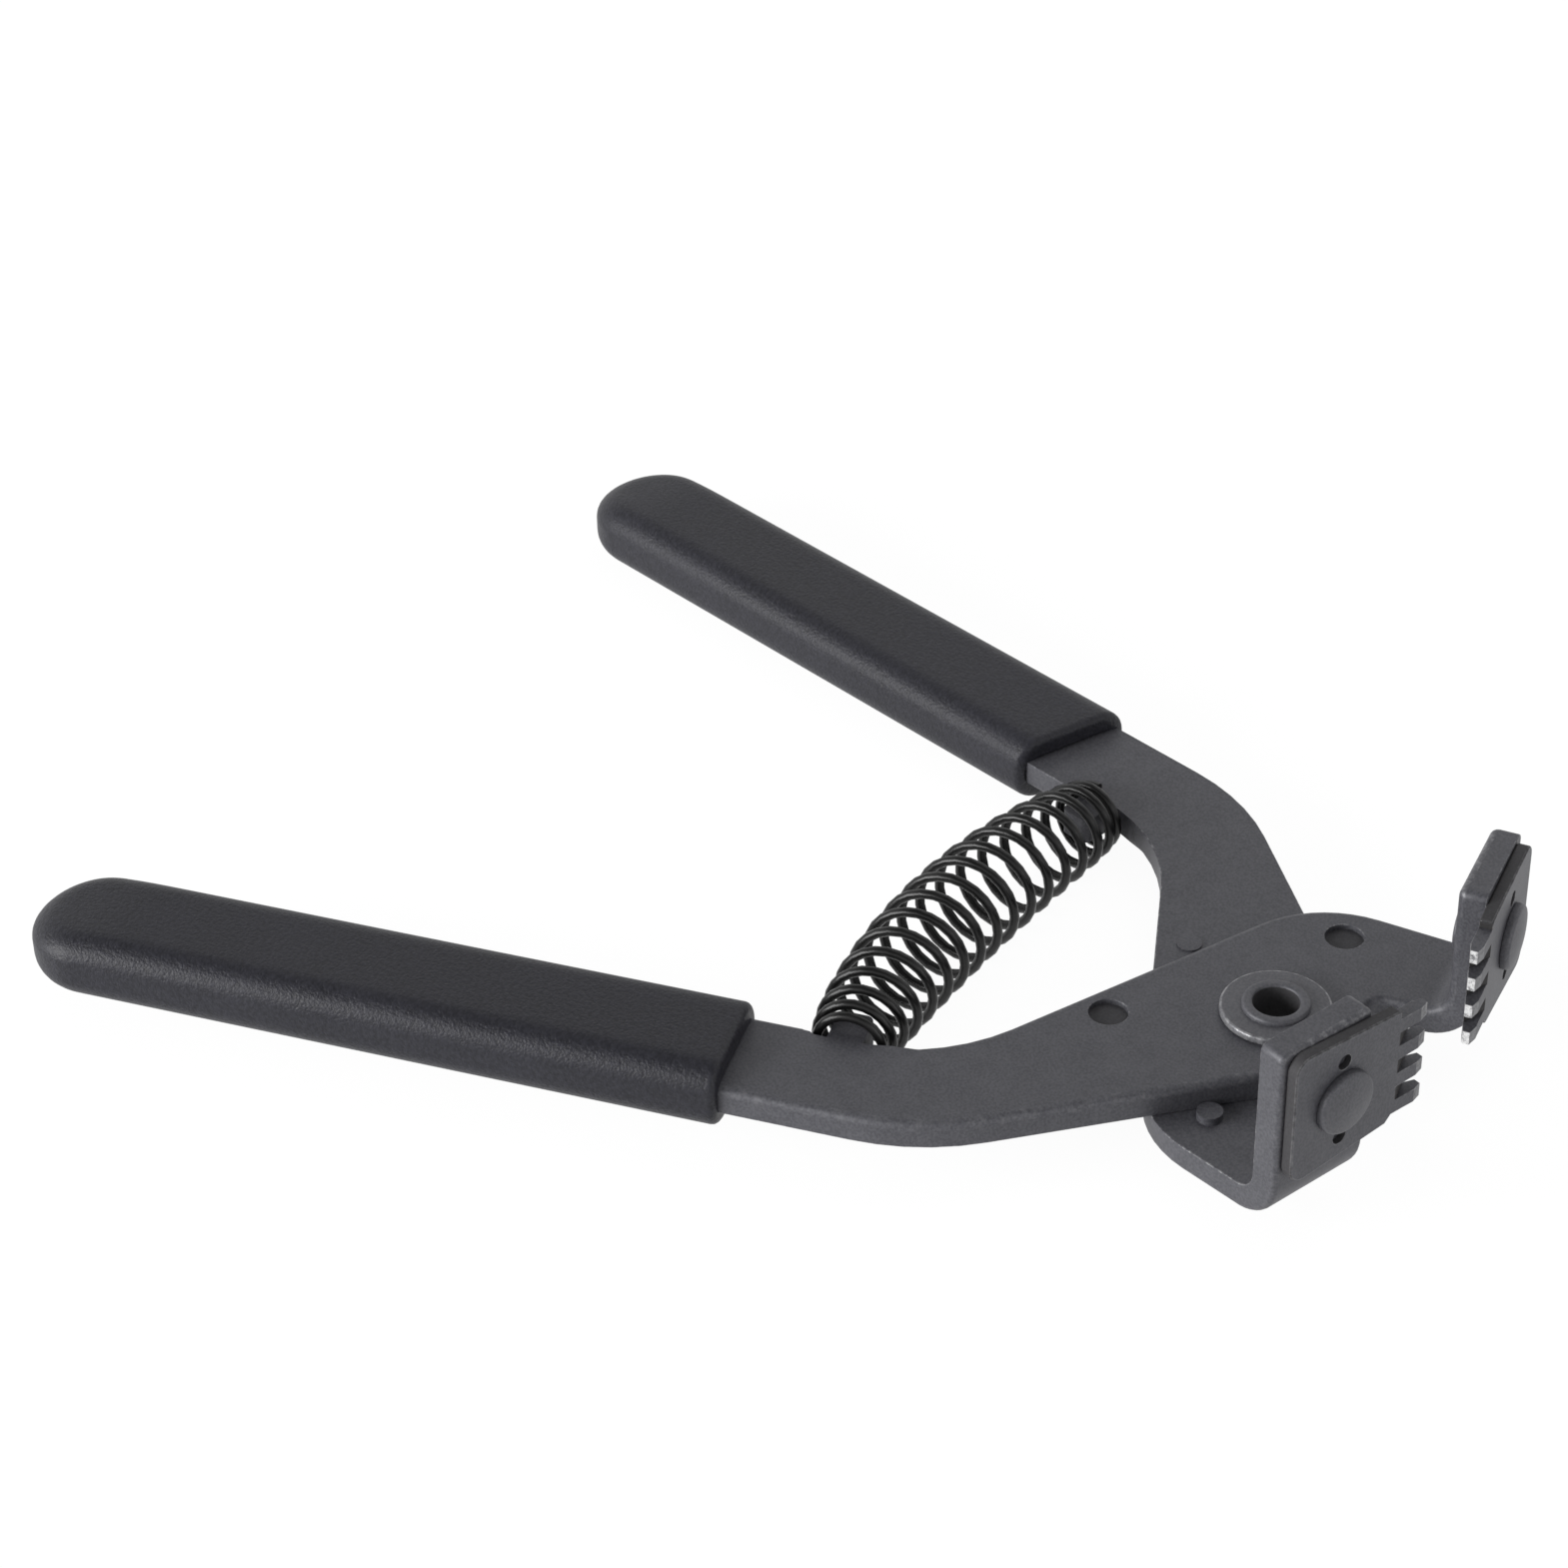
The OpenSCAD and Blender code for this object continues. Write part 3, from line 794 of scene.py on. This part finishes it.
def dipGrip(body):
    g, own = grips, grips[body]
    side, node = own["side"], body + "_grip"
    shape = bmesh.new()
    halfSection(shape)
    straight = own["end"] - g["width"] / 2 - g["mouth"]
    edges = pushEdges(shape, shape.edges[:], Vector((-straight, 0, 0)), g["lengths"])
    ends = list(dict.fromkeys(v for e in edges for v in e.verts))
    spun = bmesh.ops.spin(shape, geom=[*ends, *edges], cent=(-straight, 0, 0), axis=(0, 0, 1),
                          angle=math.pi, steps=g["endSteps"])["geom_last"]
    edges = [part for part in spun if isinstance(part, bmesh.types.BMEdge)]
    pushEdges(shape, edges, Vector((straight, 0, 0)), g["lengths"])
    bmesh.ops.remove_doubles(shape, verts=shape.verts, dist=joinDistance * 5)
    closeMouth(shape, [e for e in shape.edges if e.is_boundary])
    bmesh.ops.recalc_face_normals(shape, faces=shape.faces)
    addMasks(shape)
    # the mouth isn't cut square: one side of the lip runs further up the steel
    middleLip = (own["outerLip"] + own["innerLip"]) / 2
    halfTilt = (own["outerLip"] - own["innerLip"]) / 2
    for v in shape.verts:
        toEnd = max(0.0, own["end"] - g["mouth"] + v.co.x)
        # the top slopes down towards the closed end
        if v.co.z > 0 and toEnd < g["slopeReach"]:
            v.co.z *= 1 - g["slopeShare"] * (1 - toEnd / g["slopeReach"]) ** 2
        share = max(0.0, min(1.0, 1 + v.co.x / g["lipReach"]))
        v.co.x += share * share * (middleLip + halfTilt * v.co.y * side / (g["width"] / 2))
    turn = Matrix.Rotation(math.radians(-g["angle"] * side), 4, "Z")
    start = Vector((-g["mouth"], g["offset"] * side, 0))
    place = Matrix.Translation((0, 0, own["middle"])) @ turn @ Matrix.Translation(start)
    bmesh.ops.transform(shape, matrix=place, verts=shape.verts)
    softSurface(shape, 50)
    addPiece(shape, node + "_dipped", body, node, gripPaint)


dipGrip("lower")
dipGrip("upper")
print("grips dipped")

# the barrel spring: one wire wound round an axis that bows towards the grips
spring = {
    "wire": 1.2 * mm,
    "wireSteps": 4,
    "turns": 17.5,
    "ringsPerTurn": 24,
    "barrel": 6.04 * mm,
    "endTurn": 3.5 * mm,
    "endPitch": 1.35 * mm,
    "bow": 3.2 * mm,
    "fullness": 0.75,
    "closePower": 8,
    "endShare": 0.2734,
    "seatAlong": 45.2 * mm,
    "seatAcross": 18.9 * mm,
    "low": 1.7 * mm,
    "high": 5.15 * mm,
}


def springLine():
    # the wire's middle line, from the seat on the lower arm to the one on the upper arm
    k = spring
    angle = math.radians(-grips["angle"])
    seatX = -k["seatAlong"] * math.cos(angle) - k["seatAcross"] * math.sin(angle)
    reach = -k["seatAlong"] * math.sin(angle) + k["seatAcross"] * math.cos(angle)
    rings = round(k["turns"] * k["ringsPerTurn"])
    closedPart = k["endShare"] * k["endPitch"]
    middlePitch = (2 * reach / k["turns"] - closedPart) / (1 - k["endShare"])
    rises = [0.0]
    for i in range(rings):
        closed = math.cos(math.pi * (i + 0.5) / rings) ** k["closePower"]
        rises.append(rises[-1] + middlePitch - (middlePitch - k["endPitch"]) * closed)
    middleZ, halfStep = (k["low"] + k["high"]) / 2, (k["high"] - k["low"]) / 2
    points = []
    for i, rise in enumerate(rises):
        y = reach * (1 - 2 * rise / rises[-1])
        ahead = Vector((-2 * k["bow"] * y / reach ** 2, -1, halfStep / reach)).normalized()
        sideways = ahead.cross(Vector((0, 0, 1))).normalized()
        up = sideways.cross(ahead)
        swell = abs(math.sin(math.pi * i / rings)) ** k["fullness"]
        radius = k["endTurn"] + (k["barrel"] - k["endTurn"]) * swell
        turn = 2 * math.pi * i / k["ringsPerTurn"]
        bowedX = seatX - k["bow"] * (1 - (y / reach) ** 2)
        centre = Vector((bowedX, y, middleZ - halfStep * y / reach))
        points.append(centre + radius * (math.cos(turn) * up + math.sin(turn) * sideways))
    return points, reach


def windSpring():
    points, reach = springLine()
    curve = bpy.data.curves.new("springLine", "CURVE")
    curve.dimensions = "3D"
    curve.bevel_depth = spring["wire"] / 2
    curve.bevel_resolution = spring["wireSteps"]
    curve.use_fill_caps = True
    line = curve.splines.new("POLY")
    line.points.add(len(points) - 1)
    for point, place in zip(line.points, points):
        point.co = (*place, 1)
    holder = bpy.data.objects.new("springHolder", curve)
    bpy.context.scene.collection.objects.link(holder)
    bpy.context.view_layer.update()
    wound = holder.evaluated_get(bpy.context.evaluated_depsgraph_get())
    mesh = bpy.data.meshes.new_from_object(wound)
    bpy.data.objects.remove(holder)
    shape = bmesh.new()
    shape.from_mesh(mesh)
    bmesh.ops.remove_doubles(shape, verts=shape.verts, dist=joinDistance)
    softSurface(shape, 50)
    shape.to_mesh(mesh)
    shape.free()
    mesh.materials.clear()
    mesh.materials.append(springPaint)
    piece = bpy.data.objects.new("wound_spring", mesh)
    bpy.context.scene.collection.objects.link(piece)
    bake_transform(piece, "lower", "upper", start=(points[0].x, reach, 0), end=(points[-1].x, -reach, 0))
    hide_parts("spring")


windSpring()
print("spring wound")


# the studio: a white floor, a low key from the front left, soft light from behind and the right
studio = {
    "floorSize": 3.0,
    "floorCard": 0.86,
    "floorGlow": 1.06,
    "whiteShare": 0.9,
    "white": 1.0,
    "ambient": 0.3,
    "overhead": 0.25,
    "dimFrom": 0.6,
    "dimTo": 0.85,
    "aim": (-0.05, 0, 0),
    "key": {"place": (-0.75, -1.0, 0.25), "size": 0.8, "power": 22},
    "back": {"place": (0.1, 0.6, 1.1), "size": 0.8, "power": 2},
    "side": {"place": (1.0, -0.3, 0.35), "size": 0.6, "power": 1.7},
}


def whiteToView(paint):
    # 1 for what the camera, a mirror or glass looks at
    path = [paint.node("ShaderNodeLightPath", output=name) for name in
            ("Is Camera Ray", "Is Glossy Ray", "Is Transmission Ray")]
    total = path[0] + path[1] + path[2]
    return total.maths("MINIMUM", total, 1.0)


def layFloor():
    shape = bmesh.new()
    bmesh.ops.create_grid(shape, x_segments=1, y_segments=1, size=studio["floorSize"] / 2)
    bmesh.ops.translate(shape, vec=(0, 0, cadBox[0][2]), verts=shape.verts)
    mesh = bpy.data.meshes.new("floor")
    shape.to_mesh(mesh)
    shape.free()
    paint = newPaint("floorCard")
    card = paint.node("ShaderNodeBsdfDiffuse", {}, {"Color": grey(studio["floorCard"])})
    glow = paint.node("ShaderNodeEmission", {},
                      {"Color": grey(1.0), "Strength": studio["floorGlow"]})
    share = whiteToView(paint) * studio["whiteShare"]
    mixed = paint.node("ShaderNodeMixShader", {}, {0: share, 1: card, 2: glow})
    paint.node("ShaderNodeOutputMaterial", {}, {"Surface": mixed})
    mesh.materials.append(paint.owner)
    floor = bpy.data.objects.new("floor", mesh)
    bpy.context.scene.collection.objects.link(floor)


def hangLamp(name):
    lamp = studio[name]
    light = bpy.data.lights.new(name + "Lamp", "AREA")
    light.size = lamp["size"]
    light.energy = lamp["power"]
    holder = bpy.data.objects.new(name + "Lamp", light)
    place = Vector(lamp["place"])
    aim = Vector(studio["aim"]) - place
    facing = aim.to_track_quat("-Z", "Y").to_matrix().to_4x4()
    holder.matrix_world = Matrix.Translation(place) @ facing
    bpy.context.scene.collection.objects.link(holder)


def lightWorld():
    k, world = studio, bpy.data.worlds.new("studio")
    bpy.context.scene.world = world
    paint = Paint(world, "Generated")
    # the surround is white at the sides and dimmer overhead
    height = paint.node("ShaderNodeSeparateXYZ", {}, {"Vector": paint.place}, output="Z")
    white = k["white"] - height.between(k["dimFrom"], k["dimTo"]) * (k["white"] - k["overhead"])
    strength = k["ambient"] + whiteToView(paint) * (white - k["ambient"])
    sky = paint.node("ShaderNodeBackground", {}, {"Color": grey(1.0), "Strength": strength})
    paint.node("ShaderNodeOutputWorld", {}, {"Surface": sky})


layFloor()
for name in ("key", "back", "side"):
    hangLamp(name)
lightWorld()
bpy.context.scene.view_settings.view_transform = "Standard"
print("studio lit")
